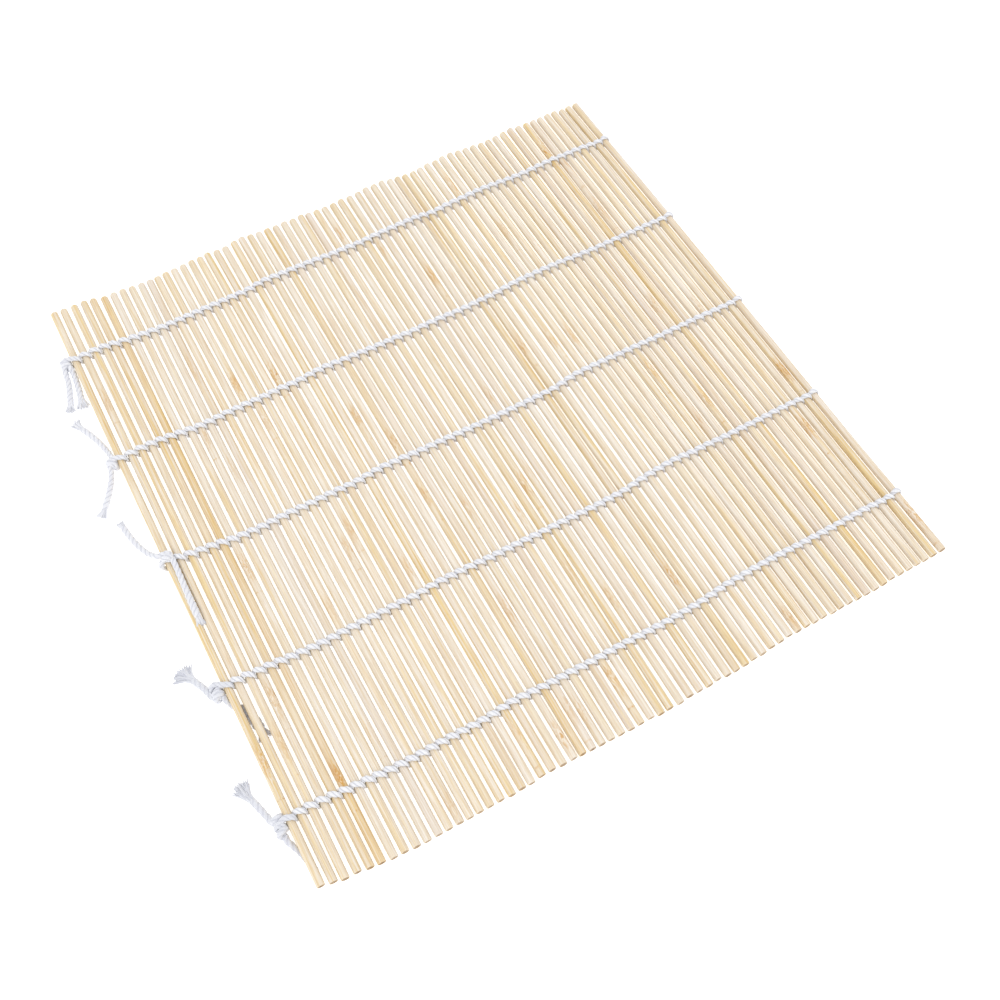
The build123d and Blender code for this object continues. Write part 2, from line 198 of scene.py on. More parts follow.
def bamboo_material():
    m = Nodes("bamboo")
    wood = m.attr("wood", "Vector")
    tone = m.attr("tone", "Color")
    streak = m.attr("streak")
    kd = m.attr("knuckle_distance")
    ks = m.attr("knuckle_strength")
    cap = m.attr("cap")
    # the grain is drawn round a knuckle
    slow = m.noise(m.vec("MULTIPLY", wood, (0.9, 0.35, 0.9)), 1.0, 2.0)
    off = m.math("MULTIPLY_ADD", slow, 3.0, -1.5)
    near = m.math("ABSOLUTE", m.math("ADD", kd, off))
    blotch = m.math("MULTIPLY", m.ramp(near, 0.0, 9.0, 1.0, 0.0), ks)
    push = m.vec("SUBTRACT", m.noise(m.vec("MULTIPLY", wood, (0.55, 0.30, 0.55)), 1.0, 2.0, colour=True), (0.5, 0.5, 0.5))
    wood2 = m.vec("ADD", wood, m.vec("SCALE", push, scale=m.math("MULTIPLY", blotch, 2.6)))
    # streaks of three widths along the stick
    fine = m.noise(m.vec("MULTIPLY", wood2, (1.0, 0.018, 1.0)), 3.2, 5.0, 0.66)
    mid = m.noise(m.vec("MULTIPLY", wood2, (1.0, 0.010, 1.0)), 1.6, 3.0, 0.55)
    wide = m.noise(m.vec("MULTIPLY", wood, (0.35, 0.016, 0.35)), 1.0, 2.0)
    dash = m.noise(m.vec("MULTIPLY", wood2, (1.0, 0.055, 1.0)), 6.0, 2.0, 0.6)
    reach = m.noise(m.vec("MULTIPLY", wood, (0.08, 0.012, 0.08)), 1.0, 1.0)
    gold = m.math("MULTIPLY", m.math("MULTIPLY", m.ramp(mid, 0.50, 0.555), streak), m.ramp(reach, 0.36, 0.62, 0.45, 1.35), clamp=True)
    col = m.mix("MULTIPLY", gold, tone, (*GOLD, 1))
    col = m.mix("MULTIPLY", m.ramp(wide, 0.52, 0.74, 0.0, 0.55), col, (0.985, 0.92, 0.80, 1))
    col = m.mix("MIX", m.ramp(mid, 0.44, 0.30, 0.0, 0.38), col, (*PALE, 1))
    col = m.mix("MULTIPLY", m.ramp(fine, 0.56, 0.42, 0.0, 1.0), col, (0.90, 0.84, 0.75, 1))
    vein = m.noise(m.vec("MULTIPLY", wood2, (1.0, 0.007, 1.0)), 1.9, 2.0, 0.5)
    thin = m.ramp(m.math("ABSOLUTE", m.math("SUBTRACT", vein, 0.54)), 0.004, 0.022, 1.0, 0.0)
    col = m.mix("MULTIPLY", m.math("MULTIPLY", thin, m.math("MULTIPLY_ADD", streak, 0.5, 0.3)), col, (0.93, 0.81, 0.62, 1))
    col = m.mix("MULTIPLY", m.ramp(dash, 0.62, 0.74, 0.0, 0.55), col, (0.84, 0.71, 0.55, 1))
    # knuckles: a warm blotch, a thin dark line across it and a pale ridge beside the line
    feather = m.noise(m.vec("MULTIPLY", wood2, (1.0, 0.042, 1.0)), 1.5, 2.0, 0.5)
    col = m.mix("MIX", m.math("MULTIPLY", blotch, m.ramp(feather, 0.47, 0.38, 0.0, 0.65)), col, (*PALE, 1))
    col = m.mix("MULTIPLY", m.math("MULTIPLY", blotch, m.ramp(feather, 0.50, 0.57)), col, (0.90, 0.71, 0.45, 1))
    col = m.mix("MULTIPLY", m.math("MULTIPLY", blotch, m.ramp(fine, 0.54, 0.44)), col, (0.90, 0.76, 0.58, 1))
    line_at = m.math("ABSOLUTE", m.math("ADD", kd, m.math("MULTIPLY_ADD", slow, 1.6, -0.8)))
    line = m.math("MULTIPLY", m.ramp(line_at, 0.05, 0.32, 1.0, 0.0), ks)
    col = m.mix("MULTIPLY", m.math("MULTIPLY", line, 0.16), col, (0.88, 0.70, 0.50, 1))
    ridge_at = m.math("ABSOLUTE", m.math("ADD", m.math("ADD", kd, -0.75), m.math("MULTIPLY_ADD", slow, 1.6, -0.8)))
    ridge = m.math("MULTIPLY", m.ramp(ridge_at, 0.1, 0.55, 1.0, 0.0), ks)
    col = m.mix("MIX", m.math("MULTIPLY", ridge, 0.15), col, (*PALE, 1))
    # sawn ends: dots of the fibres; the end faces are painted much darker and browner, partly the end grain's own
    # colour and partly painted shade
    dots = m.tree.nodes.new("ShaderNodeTexVoronoi")
    m.put(m.vec("MULTIPLY", wood, (1.0, 0.05, 1.0)), dots.inputs["Vector"])
    dots.inputs["Scale"].default_value = 5.5
    speck = m.ramp(dots.outputs["Distance"], 0.16, 0.42, 1.0, 0.0)
    end = m.mix("MULTIPLY", 1.0, col, (0.50, 0.42, 0.34, 1))
    end = m.mix("MULTIPLY", m.math("MULTIPLY", speck, 0.8), end, (0.70, 0.54, 0.40, 1))
    pith = m.math("MULTIPLY", m.ramp(cap, 1.25, 1.75), m.ramp(m.noise(m.vec("MULTIPLY", wood, (0.8, 0.05, 0.8)), 1.0, 2.0), 0.40, 0.56))
    end = m.mix("MULTIPLY", pith, end, (0.42, 0.34, 0.24, 1))
    col = m.mix("MIX", m.math("MINIMUM", cap, 1.0), col, end)
    m.put(col, m.bsdf.inputs["Base Color"])
    m.put(m.ramp(fine, 0.3, 0.7, 0.62, 0.48, smooth=False), m.bsdf.inputs["Roughness"])
    m.bsdf.inputs["Specular IOR Level"].default_value = 0.12
    height = m.math("ADD", m.math("MULTIPLY", fine, 0.7), m.math("MULTIPLY", m.math("SUBTRACT", ridge, line), 0.6))
    m.put(m.bump(height, 0.35, 0.00012), m.bsdf.inputs["Normal"])
    return m.mat


def cotton_material(name, light, shade_and_tone_colour):
    m = Nodes(name)
    shade_and_tone = m.attr("shade_and_tone")
    thread = m.attr("thread", "Vector")
    fibre = m.noise(m.vec("MULTIPLY", thread, (5.0, 5.0, 0.9)), 1.6, 4.0, 0.65)
    cloud = m.noise(m.vec("MULTIPLY", thread, (0.3, 0.3, 0.3)), 1.0, 2.0)
    # painted shade: the grooves between the plies are painted darker with the shade colour; on fray fibres the same mix
    # gives each fibre a random tone
    col = m.mix("MIX", m.ramp(shade_and_tone, 0.0, 0.75), (*shade_and_tone_colour, 1), (*light, 1))
    col = m.mix("MULTIPLY", m.ramp(fibre, 0.62, 0.34, 0.0, 0.6), col, (0.86, 0.86, 0.88, 1))
    col = m.mix("MULTIPLY", m.ramp(cloud, 0.4, 0.7, 0.0, 0.5), col, (0.965, 0.955, 0.985, 1))
    m.put(col, m.bsdf.inputs["Base Color"])
    m.bsdf.inputs["Roughness"].default_value = 0.92
    m.bsdf.inputs["Specular IOR Level"].default_value = 0.2
    m.bsdf.inputs["Sheen Weight"].default_value = 0.3
    m.bsdf.inputs["Sheen Roughness"].default_value = 0.6
    m.put(m.bump(fibre, 0.4, 0.00012), m.bsdf.inputs["Normal"])
    return m.mat


GOLD = (0.972, 0.87, 0.60)
PALE = lin(233.9, 224.5, 211.4)
COTTON = lin(237, 238, 241.5)
END_COTTON_LIT_AND_SHADED = (lin(228.5, 230, 235), lin(220, 222, 228))     # rows 1 to 3, and rows 4 and 5 painted greyer as painted shade, where the light falls off towards the front left
# colour painted into the cord's grooves as painted shade, and mixed at random into fray fibres as their tone
COTTON_SHADE_AND_TONE = lin(202, 204, 213)
# tones of the sticks
TONES = {
    "p": lin(232, 224.5, 214.2),
    "s": lin(232, 222.6, 208.6),
    "g": lin(230.2, 218.9, 200.1),
    "o": lin(227.3, 211.4, 186),
    "t": lin(227.3, 217, 206.7),
}
STREAKS = {"p": 0.25, "s": 0.5, "g": 0.95, "o": 0.95, "t": 0.45}
STICK_TONES = (
    "g s sg s go o p s ps p pt s s ps s s s sg gt p g st s p go pt ps sp s t sg p g gs sp pt pt gs p p tg g s p ps s p sp s p s sg st p gs t ps go tp s ps s ps g st"
).split()
assert len(STICK_TONES) == N
# knuckles: stick, place along it, strength
KNUCKLES = [
    (2, 73, .6), (9, 42, .6), (11, 71, .4), (14, 57, .9), (15, 39, .6), (10, 25, .4), (7, -12, 1), (4, -60, .9), (3, -74, .5),
    (1, -77, .9), (6, -92, .9), (13, -116, .4), (10, -82, .4), (12, -39, .4), (18, 54, 1), (23, 23, .9), (32, 104, .6), (25, 8, .9),
    (16, -22, .6), (17, -16, .5), (20, -38, .6), (25, -16, .6), (28, -27, .6), (32, -39, .5), (33, -65, .4), (26, -68, .6),
    (26, -106, .6), (21, -106, .6), (24, -112, .9), (27, -109, .6), (31, -104, .9), (35, 89, .6), (38, 68, .9), (40, 65, .4),
    (46, 106, .9), (44, 63, .6), (48, 75, .6), (50, 60, .4), (42, 23, 1), (45, 20, .6), (47, 18, .6), (36, 10, .6), (34, -29, .9),
    (35, -25, .4), (35, -80, .6), (41, -83, .9), (48, -114, .6), (58, 104, .9), (59, 92, .5), (59, 66, .6), (57, 15, .5),
    (61, 6, .5), (52, -10, .6), (55, -30, .6), (64, -33, .9), (62, -57, .9), (65, -103, .9), (53, -36, .4),
]
bamboo = bamboo_material()
cotton = cotton_material("cotton", COTTON, COTTON_SHADE_AND_TONE)
slack_cotton_by_shade = [cotton_material(f"cotton_slack_shade_level_{k}", c, COTTON_SHADE_AND_TONE) for k, c in enumerate(END_COTTON_LIT_AND_SHADED)]


# ---------------------------------------------------------------- meshes
def add_mesh(name, verts, faces, material, attributes, smooth=True):
    """verts in mm. attributes: name -> (kind, values per vertex)."""
    me = bpy.data.meshes.new(name)
    me.from_pydata((np.asarray(verts) / 1000.0).tolist(), [], faces)
    me.validate()
    for key, (kind, values) in attributes.items():
        a = me.attributes.new(key, kind, "POINT")
        field = {"FLOAT_VECTOR": "vector", "FLOAT_COLOR": "color", "FLOAT": "value"}[kind]
        a.data.foreach_set(field, np.ascontiguousarray(values, dtype=np.float32).ravel())
    me.polygons.foreach_set("use_smooth", [smooth] * len(me.polygons))
    me.materials.append(material)
    me.update()
    ob = bpy.data.objects.new(name, me)
    bpy.context.collection.objects.link(ob)
    return ob


def lean(i, y):
    """Middle of stick i (from 0) across the mat at places y along it."""
    v = LEAN[i]
    t = [(v[min(k + 1, 4)] - v[max(k - 1, 0)]) / (PLACES[min(k + 1, 4)] - PLACES[max(k - 1, 0)]) for k in range(5)]
    y = np.asarray(y, float)
    k = np.clip(np.searchsorted(PLACES, y) - 1, 0, 3)
    P, V, T = np.array(PLACES), np.array(v), np.array(t)
    h = P[k + 1] - P[k]
    u = (y - P[k]) / h
    inner = (2 * u**3 - 3 * u**2 + 1) * V[k] + (u**3 - 2 * u**2 + u) * h * T[k] + (-2 * u**3 + 3 * u**2) * V[k + 1] + (u**3 - u**2) * h * T[k + 1]
    low, high = V[0] + (y - P[0]) * T[0], V[4] + (y - P[4]) * T[4]
    return FIRST_X + ASIDE[0] + (ASIDE[1] - ASIDE[0]) * i / (N - 1) + PITCH * i + np.where(y < P[0], low, np.where(y > P[4], high, inner))


SIDES = 24


def stick(i):
    rng = np.random.RandomState(1000 + i)
    y0, y1 = NEAR_END[i], FAR_END[i]
    marks = [(y, s) for n, y, s in KNUCKLES if n == i + 1]
    ys = list(np.linspace(y0 + 0.5, y1 - 0.5, 84))
    for y, s in marks:
        ys += [y + d for d in (-2.2, -1.4, -0.8, -0.4, 0.0, 0.4, 0.8, 1.4, 2.2) if y0 + 1 < y + d < y1 - 1]
    ys = sorted(ys)
    ys = [ys[0]] + [b for a, b in zip(ys, ys[1:]) if b - a > 0.25]
    cut0, cut1 = rng.uniform(-0.05, 0.05, 2), rng.uniform(-0.05, 0.05, 2)
    worn0, worn1 = rng.uniform(0.06, 0.16, 2)
    rings = [(y0, -worn0, 1), (y0 + 0.07, -0.35 * worn0, 1), (y0 + 0.2, 0.0, 0.8)]
    rings += [(y, 0.0, 0.0) for y in ys]
    rings += [(y1 - 0.2, 0.0, -0.8), (y1 - 0.07, -0.35 * worn1, -1), (y1, -worn1, -1)]
    Y = np.array([r[0] for r in rings])
    th = np.arange(SIDES) * 2 * np.pi / SIDES
    phase = rng.uniform(0, 6.28, 6)
    radius = SHOWN_R * (1 + rng.uniform(-0.018, 0.012))
    R = radius + 0.012 * np.sin(Y / 17 + phase[0]) + 0.008 * np.sin(Y / 5.3 + phase[1])
    R = R + np.array([r[1] for r in rings])
    kd = np.full(len(Y), 40.0)
    ks = np.zeros(len(Y))
    for y, s in marks:
        d = Y - y
        R = R + s * (0.04 * np.exp(-((d - 0.6) / 1.0) ** 2) - 0.015 * np.exp(-((d + 0.7) / 0.7) ** 2))
        take = np.abs(d) < 12
        kd[take], ks[take] = d[take], s
    face = rng.uniform(-0.5, 0.5) + np.pi / 2      # the side of the stick that shows the knuckle most
    out = 1 + 0.010 * np.cos(2 * (th - phase[2])) + 0.006 * np.cos(3 * (th - phase[3]))
    rr = R[:, None] * out[None, :]
    # a flat pared face on some sticks
    if rng.rand() < 0.35:
        a = rng.uniform(0, 6.28)
        c = np.cos(th - a)
        limit = radius * 0.93
        rr = np.where(rr * c[None, :] > limit, limit / np.maximum(c[None, :], 0.5), rr)
    X = lean(i, Y)[:, None] + rr * np.cos(th)[None, :]
    Z = AXIS_Z + rr * np.sin(th)[None, :]
    ends = np.array([r[2] for r in rings])
    slope = np.where(ends > 0, ends, 0)[:, None] * (cut0[0] * rr * np.cos(th) + cut0[1] * rr * np.sin(th)) + np.where(ends < 0, -ends, 0)[:, None] * (cut1[0] * rr * np.cos(th) + cut1[1] * rr * np.sin(th))
    YY = Y[:, None] + slope
    V = np.stack([X, YY, Z], -1).reshape(-1, 3)
    turn = rng.uniform(0, 6.28)
    seed = np.array([(i * 7.31) % 50, (i * 53.7) % 400, (i * 3.17) % 50])
    wood = np.stack([rr * np.cos(th + turn), YY, rr * np.sin(th + turn)], -1).reshape(-1, 3) + seed
    m = len(Y)
    KD = np.repeat(kd, SIDES)
    KS = (ks[:, None] * (0.35 + 0.65 * (0.5 + 0.5 * np.cos(th - face)))[None, :]).reshape(-1)
    cap = np.zeros(len(V))
    idx = np.arange(m * SIDES).reshape(m, SIDES)
    nxt = np.roll(idx, -1, axis=1)
    faces = np.stack([idx[:-1], nxt[:-1], nxt[1:], idx[1:]], -1).reshape(-1, 4)[:, ::-1].tolist()
    # sawn faces: two rings and a middle point each
    parts = [V]
    woods, kds, kss, caps = [wood], [KD], [KS], [cap]
    base = len(V)
    for which, row in ((0, 0), (1, m - 1)):
        weathered = np.random.RandomState(9000 + 2 * i + which).uniform(0.62, 1.0) + 0.25 * (i < 7)
        ring, wring = V[idx[row]], wood[idx[row]]
        mid, wmid = ring.mean(0), wring.mean(0)
        inner, winner = mid + (ring - mid) * 0.55, wmid + (wring - wmid) * 0.55
        inner[:, 1] += rng.uniform(-0.03, 0.03, SIDES)
        new = np.concatenate([ring, inner, mid[None]])
        parts.append(new)
        woods.append(np.concatenate([wring, winner, wmid[None]]))
        kds.append(np.full(len(new), 40.0)); kss.append(np.zeros(len(new))); caps.append(np.r_[np.ones(SIDES), np.full(SIDES, 1.35), 2.0] * weathered)
        a, b, c = base, base + SIDES, base + 2 * SIDES
        for k in range(SIDES):
            n = (k + 1) % SIDES
            q = [a + k, a + n, b + n, b + k]
            t = [b + k, b + n, c]
            faces.append(q if which == 0 else q[::-1])
            faces.append(t if which == 0 else t[::-1])
        base += len(new)
    kinds = STICK_TONES[i]
    tone = np.mean([TONES[c] for c in kinds], axis=0) * (1 + rng.uniform(-0.02, 0.015))
    # painted light and shade: the flanks are painted a little paler than the top to flatten their shading, and a thin
    # painted shade line runs low on each side, darker on the right flank, its height changing from the first stick to
    # the last
    painted_flank_light = np.clip((0.70 - np.sin(th)) / 0.5, 0, 1)
    painted_flank_light = painted_flank_light * painted_flank_light * (3 - 2 * painted_flank_light)
    # painted shade line: how high it reaches on each flank changes across the mat
    start = 0.44 + np.where(np.cos(th) > 0, 0.40, -0.50) * i / (N - 1)
    side = np.clip((start - np.sin(th)) / 0.28, 0, 1) * np.clip((np.sin(th) + 0.95) / 0.4, 0.15, 1)
    side = side * side * (3 - 2 * side)
    painted_flank_shading = (1 - painted_flank_light[:, None] * np.where(np.cos(th)[:, None] > 0, [-0.03, -0.03, -0.025], [-0.06, -0.055, -0.02])) * (1 - side[:, None] * np.where(np.cos(th)[:, None] > 0, [0.50, 0.52, 0.46], [0.13, 0.20, 0.42]))
    streak = np.mean([STREAKS[c] for c in kinds])
    V = np.concatenate(parts)
    tone = np.concatenate([np.tile(tone * painted_flank_shading, (m, 1)), np.tile(tone, (len(V) - m * SIDES, 1))])
    tone = np.c_[tone, np.ones(len(V))]
    return V, faces, np.concatenate(woods), np.concatenate(kds), np.concatenate(kss), np.concatenate(caps), tone, streak


bodies = ["knotted_edge"] + [f"group_{k + 1:02d}" for k in range(1, len(GROUPS))]
for g, count in enumerate(GROUPS):
    V, F, W, KD, KS, CAP, TONE, STREAK = [], [], [], [], [], [], [], []
    base = 0
    for i in range(STARTS[g], STARTS[g] + count):
        v, f, w, kd, ks, cap, tone, streak = stick(i)
        V.append(v); W.append(w); KD.append(kd); KS.append(ks); CAP.append(cap)
        TONE.append(tone); STREAK.append(np.full(len(v), streak))
        F += [[q + base for q in face] for face in f]
        base += len(v)
    ob = add_mesh(f"bamboo_{g + 1:02d}", np.concatenate(V), F, bamboo, {
        "wood": ("FLOAT_VECTOR", np.concatenate(W)),
        "tone": ("FLOAT_COLOR", np.concatenate(TONE)),
        "streak": ("FLOAT", np.concatenate(STREAK)),
        "knuckle_distance": ("FLOAT", np.concatenate(KD)),
        "knuckle_strength": ("FLOAT", np.concatenate(KS)),
        "cap": ("FLOAT", np.concatenate(CAP)),
    })
    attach(ob, bodies[g])
    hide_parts(f"sticks_{g + 1:02d}")


# ---------------------------------------------------------------- twisted cord
def lobes(angle):
    """Outline of three plies, 1 at their tops."""
    a = (angle + np.pi / 3) % (2 * np.pi / 3) - np.pi / 3
    return 0.29 * np.cos(a) + np.sqrt(np.maximum(0.71**2 - (0.29 * np.sin(a)) ** 2, 0))


def transport(P):
    """Tangents and a frame that doesn't spin, along points P."""
    T = np.gradient(P, axis=0)
    T /= np.linalg.norm(T, axis=1)[:, None]
    U = np.zeros_like(P)
    u = np.cross(T[0], [0.0, 1.0, 0.3]); u /= np.linalg.norm(u)
    for k in range(len(P)):
        u = u - T[k] * (u @ T[k])
        u /= np.linalg.norm(u)
        U[k] = u
    return T, U, np.cross(T, U)


def rope(P, wide, high, normal, start=0.0, nv=18, lay=LAY, seed=0, soften=None):
    """Rings of a three-ply cord along P. wide and high are half sizes across and along normal. Returns ring vertices,
    groove depth for the painted groove shade and thread coordinates.
    """
    P = np.asarray(P, float)
    n = len(P)
    step = np.r_[0, np.cumsum(np.linalg.norm(np.diff(P, axis=0), axis=1))]
    T, U, B = transport(P)
    wide = np.broadcast_to(wide, n).astype(float)
    high = np.broadcast_to(high, n).astype(float)
    rng = np.random.RandomState(seed)
    drift = 0.25 * np.sin(step / 9.0 + rng.uniform(0, 6)) + 0.15 * np.sin(step / 3.7 + rng.uniform(0, 6))
    pitch = np.broadcast_to(lay, n).astype(float)
    phase = 2 * np.pi * (np.r_[0, np.cumsum(np.diff(step) / pitch[1:])] + start / LAY) + drift
    k = np.arange(nv) * 2 * np.pi / nv
    r = lobes(k)
    if soften is None:
        soften = np.zeros(n)
    rr = r[None, :] * (1 - soften[:, None]) + 0.85 * soften[:, None]
    uneven = 1 + 0.035 * np.sin(3.1 * step + rng.uniform(0, 6))[:, None] * np.cos(k)[None, :]
    rr = rr * uneven
    ang = k[None, :] + phase[:, None]
    D = (np.cos(ang)[..., None] * U[:, None, :] + np.sin(ang)[..., None] * B[:, None, :]) * rr[..., None]
    Nn = np.asarray(normal, float)
    Nn = Nn - T * np.sum(Nn * T, axis=1)[:, None]
    Nn /= np.maximum(np.linalg.norm(Nn, axis=1), 1e-6)[:, None]
    along = np.sum(D * Nn[:, None, :], axis=2)[..., None] * Nn[:, None, :]
    V = P[:, None, :] + (D - along) * wide[:, None, None] + along * high[:, None, None]
    # groove depth, used to paint shade into the grooves
    painted_groove_shade = np.clip((r - r.min()) / (r.max() - r.min()), 0, 1)
    shade_and_tone = np.broadcast_to(painted_groove_shade[None, :], (n, nv))
    seedv = rng.uniform(0, 60, 3)
    thread = np.stack([np.broadcast_to(np.cos(k), (n, nv)), np.broadcast_to(np.sin(k), (n, nv)), np.broadcast_to(step[:, None], (n, nv))], -1) * [0.75, 0.75, 1.0] + seedv
    return V, shade_and_tone, thread


class Tubes:
    """Collects tubes, capped at both ends, for one mesh."""

    def __init__(self):
        self.v, self.f, self.p, self.t, self.n = [], [], [], [], 0

    def add(self, V, shade_and_tone, thread):
        n, nv = V.shape[:2]
        idx = self.n + np.arange(n * nv).reshape(n, nv)
        nxt = np.roll(idx, -1, axis=1)
        self.f += np.stack([idx[:-1], nxt[:-1], nxt[1:], idx[1:]], -1).reshape(-1, 4).tolist()
        a, b = self.n + n * nv, self.n + n * nv + 1
        for k in range(nv):
            self.f.append([idx[0][(k + 1) % nv], idx[0][k], a])
            self.f.append([idx[-1][k], idx[-1][(k + 1) % nv], b])
        self.v += [V.reshape(-1, 3), V[0].mean(0)[None], V[-1].mean(0)[None]]
        self.p += [shade_and_tone.reshape(-1), [0.4], [0.4]]
        self.t += [thread.reshape(-1, 3), thread[0].mean(0)[None], thread[-1].mean(0)[None]]
        self.n += n * nv + 2

    def build(self, name, material=None):
        ob = add_mesh(name, np.concatenate(self.v), self.f, material or cotton, {
            "shade_and_tone": ("FLOAT", np.concatenate(self.p)),
            "thread": ("FLOAT_VECTOR", np.concatenate(self.t)),
        })
        return ob


# ---------------------------------------------------------------- lacing
STEPS = 20          # rings of a strand on each stick


def gap_x(i, y):
    """Middle of the gap after stick i, at place y."""
    return float((lean(i, y) + lean(i + 1, y)) / 2)


def strand(r, s):
    """The whole of strand s of row r, from the left side of the first stick to the last. Returns points, half sizes and
    normals.
    """
    P, Wd, Hg, Nm = [], [], [], []
    row = ROWS[r]
    for i in range(N):
        x = float(lean(i, row[i]))
        c = row[i]
        cl = (row[i - 1] + c) / 2 if i else c
        cr = (row[i + 1] + c) / 2 if i < N - 1 else c
        xl = gap_x(i - 1, cl) if i else x - 1.75
        xr = gap_x(i, cr) if i < N - 1 else x + 1.75
        d = 0.90 - 0.26 * i / (N - 1)
        over = (i + s) % 2 == 0
        gl = min(abs(x - xl) - STICK_R - 0.01, 0.5)
        gr = min(abs(xr - x) - STICK_R - 0.01, 0.5)
        sign = 1 if over else -1
        for q in range(STEPS):
            f = math.pi * q / STEPS
            u = (1 - math.cos(f)) / 2
            span = (x - xl) if f < math.pi / 2 else (xr - x)
            rz = (STICK_R + OVER_H) if over else (STICK_R + UNDER_H + 0.03)
            px = x - span * math.cos(f)
            pz = AXIS_Z + sign * rz * math.sin(f)
            ya, yb = cl + sign * d, cr - sign * d
            if i == N - 1:
                yb = c + (0.15 if over else -0.15)
            P.append((px, ya * (1 - u) + yb * u, pz))
            g = gl if f < math.pi / 2 else gr
            e = math.sin(f) ** 2
            Hg.append(max(g, 0.25) * (1 - e) + (OVER_H if over else UNDER_H) * e)
            Wd.append(min(WIDE, d * 0.985) * (1 - e) + WIDE * e)
            Nm.append((-math.cos(f), 0.0, sign * math.sin(f)))
    return np.array(P), np.array(Wd), np.array(Hg), np.array(Nm)


def cut(g, s):
    """The ring where strand s is cut in group g: under one of its sticks."""
    a = STARTS[g]
    if (a + 1 + s) % 2 == 1:
        i = a + 1
    elif g == 0:
        i = a + 2
    else:
        i = a
    return i * STEPS + STEPS // 2


last = len(GROUPS) - 1
pieces = [Tubes() for _ in range(len(GROUPS) + 1)]      # left end, 21 hinge pieces, right end
for r in range(5):
    strands = [strand(r, s) for s in (0, 1)]
    # strand 0 goes over the last stick, folds round it and comes back under to meet strand 1
    P0, W0, H0, N0 = strands[0]
    P1, W1, H1, N1 = strands[1]
    tail = slice(None, (N - 1) * STEPS + STEPS // 2 - 1, -1)
    fold = len(P0)
    x = float(lean(N - 1, ROWS[r][-1])) + 1.75
    P0 = np.vstack([P0, [[x, ROWS[r][-1], AXIS_Z]], P1[tail]])
    W0, H0 = np.r_[W0, W0[-1], W1[tail]], np.r_[H0, H0[-1], H1[tail]]
    N0 = np.vstack([N0, [[1, 0, 0]], N1[tail]])
    P1, W1, H1, N1 = (a[: (N - 1) * STEPS + STEPS // 2 + 1] for a in (P1, W1, H1, N1))
    for s, (P, Wd, Hg, Nm) in enumerate(((P0, W0, H0, N0), (P1, W1, H1, N1))):
        V, shade_and_tone, thread = rope(P, Wd, Hg, Nm, start=1.3 * r + 2.1 * s, seed=10 * r + s)
        cuts = [STEPS - 1] + [cut(g, s) for g in range(len(GROUPS) - 1)]
        if s == 0:
            cuts.append(STARTS[last] * STEPS + STEPS // 2)
        cuts.append(len(P) - 1)
        for k, (a, b) in enumerate(zip(cuts, cuts[1:])):
            pieces[k].add(V[a:b + 1], shade_and_tone[a:b + 1], thread[a:b + 1])
for k, tubes in enumerate(pieces):
    if k == 0:
        ob = tubes.build("cord_left_end")
        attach(ob, "knotted_edge")
        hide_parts("lacing_01")
    elif k == len(GROUPS):
        ob = tubes.build("cord_right_end")
        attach(ob, bodies[-1])
        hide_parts(f"lacing_{len(GROUPS):02d}")
    else:
        ob = tubes.build(f"cord_rows_{k:02d}")
        x = (FIRST_X + PITCH * STARTS[k] - PITCH / 2 + np.mean([LEAN[STARTS[k]][2], LEAN[STARTS[k] - 1][2]])) / 1000
        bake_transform(ob)
        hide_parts(f"lacing_{k + 1:02d}")


# ---------------------------------------------------------------- knots and free ends
S = 1.02            # height of an end's middle where it lies on the table
F = 0.46            # the same where it is pressed flat under the sticks
LOOSE = 1.0         # half width over the plies' tops at the knot; towards its tip an end is looser


def turns(cx, cz, r, a0, a1, y0, y1):
    """Control points of turns round a line along Y through (cx, cz), eight to a turn."""
    n = max(2, int(round(abs(a1 - a0) / 45)))
    out = []
    for k in range(n + 1):
        u = k / n
        a = math.radians(a0 + (a1 - a0) * u)
        out.append((cx + r * math.cos(a), y0 + (y1 - y0) * u, cz + r * math.sin(a)))
    return out


def spline_points(name, route):
    """Points read from a NURBS spline with the route's points as its control points, about 0.2 mm apart."""
    cu = bpy.data.curves.new(name, "CURVE")
    cu.dimensions = "3D"
    cu.resolution_u = 24
    sp = cu.splines.new("NURBS")
    sp.points.add(len(route) - 1)
    for p, q in zip(sp.points, route):
        p.co = (q[0] / 1000, q[1] / 1000, q[2] / 1000, 1)
    sp.order_u = 3
    sp.use_endpoint_u = True
    ob = bpy.data.objects.new(name, cu)
    bpy.context.collection.objects.link(ob)
    bpy.context.view_layer.update()
    me = bpy.data.meshes.new_from_object(ob)
    P = np.array([v.co[:] for v in me.vertices]) * 1000
    bpy.data.objects.remove(ob)
    bpy.data.meshes.remove(me)
    bpy.data.curves.remove(cu)
    s = np.r_[0, np.cumsum(np.linalg.norm(np.diff(P, axis=0), axis=1))]
    t = np.linspace(0, s[-1], int(s[-1] / 0.2) + 1)
    return np.stack([np.interp(t, s, P[:, k]) for k in range(3)], -1), float(s[-1])


def gap_start(r, s):
    """Where strand s of row r passes between the first two sticks."""
    row = ROWS[r]
    c = (row[0] + row[1]) / 2
    return gap_x(0, c), c + (-0.90 if s == 0 else 0.90)


